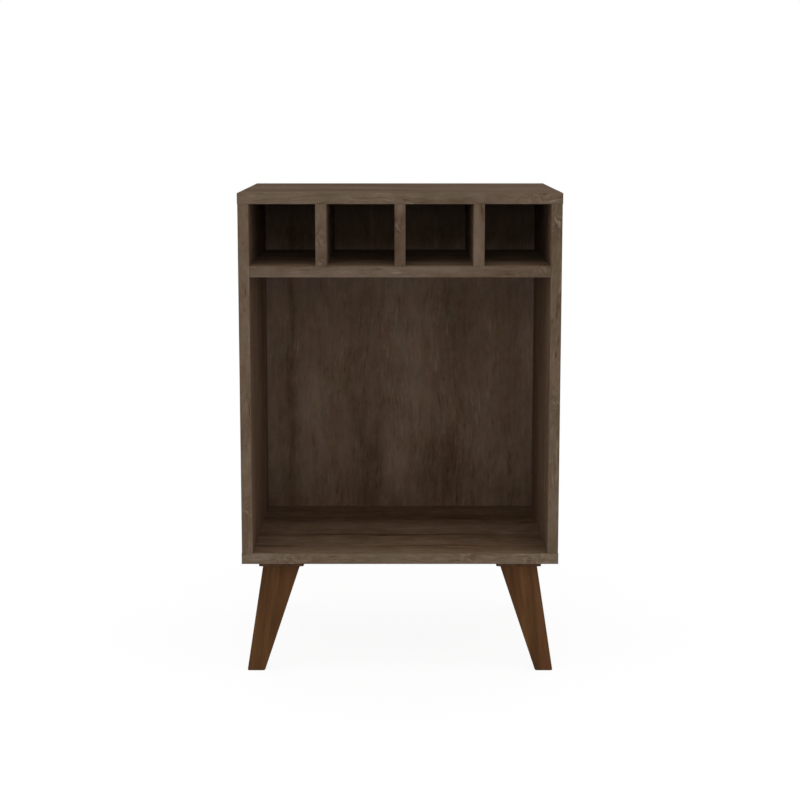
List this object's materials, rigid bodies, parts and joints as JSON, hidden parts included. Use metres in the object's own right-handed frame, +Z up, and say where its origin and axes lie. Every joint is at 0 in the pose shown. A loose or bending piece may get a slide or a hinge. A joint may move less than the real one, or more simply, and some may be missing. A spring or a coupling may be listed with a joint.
{
  "type": "wine rack side table",
  "caption": "Open wood-decor side table with a row of bottle bays over one open compartment, on tapered legs that splay outwards.",
  "frame": {"origin": "on the floor under the middle of the case", "axes": "+Z up, +Y towards the back, +X to the right of someone who faces the open front"},
  "size_m": [0.44, 0.35, 0.668],
  "materials": {
    "decor_board": "matt dark oak decor on particle board, fine grain with knots",
    "edge_band": "matt dark oak decor strip",
    "back_board": "thin fibreboard, oak decor in front, plain brown behind",
    "leg_wood": "satin, walnut-stained solid wood",
    "block_wood": "satin, walnut-stained solid wood",
    "dowel_wood": "bare beech",
    "cast_zinc": "bare die-cast zinc",
    "plated_steel": "zinc-plated steel",
    "cap_plastic": "matt brown moulded plastic"
  },
  "bodies": {
    "root": {"back_panel": "back_board", "back_panel_pins": "plated_steel", "bottle_shelf": "decor_board", "bottle_shelf_band": "edge_band", "bottom_connectors": "plated_steel", "bottom_dowels": "dowel_wood", "bottom_front_band": "edge_band", "bottom_left_band": "edge_band", "bottom_panel": "decor_board", "bottom_rear_band": "edge_band", "bottom_right_band": "edge_band", "divider_1": "decor_board", "divider_1_band": "edge_band", "divider_2": "decor_board", "divider_2_band": "edge_band", "divider_3": "decor_board", "divider_3_band": "edge_band", "divider_connectors": "plated_steel", "divider_dowels": "dowel_wood", "front_left_leg": "leg_wood", "front_left_leg_block": "block_wood", "front_right_leg": "leg_wood", "front_right_leg_block": "block_wood", "left_side_front_band": "edge_band", "left_side_panel": "decor_board", "left_side_rear_band": "edge_band", "leg_block_screws": "plated_steel", "leg_hanger_bolts": "plated_steel", "leg_tee_nuts": "plated_steel", "rear_left_leg": "leg_wood", "rear_left_leg_block": "block_wood", "rear_right_leg": "leg_wood", "rear_right_leg_block": "block_wood", "right_side_front_band": "edge_band", "right_side_panel": "decor_board", "right_side_rear_band": "edge_band", "shelf_cam_bolts": "plated_steel", "shelf_cam_caps": "cap_plastic", "shelf_cam_housings": "cast_zinc", "shelf_dowels": "dowel_wood", "top_cam_bolts": "plated_steel", "top_cam_caps": "cap_plastic", "top_cam_housings": "cast_zinc", "top_dowels": "dowel_wood", "top_front_band": "edge_band", "top_left_band": "edge_band", "top_panel": "decor_board", "top_rear_band": "edge_band", "top_right_band": "edge_band"}
  },
  "joints": []
}
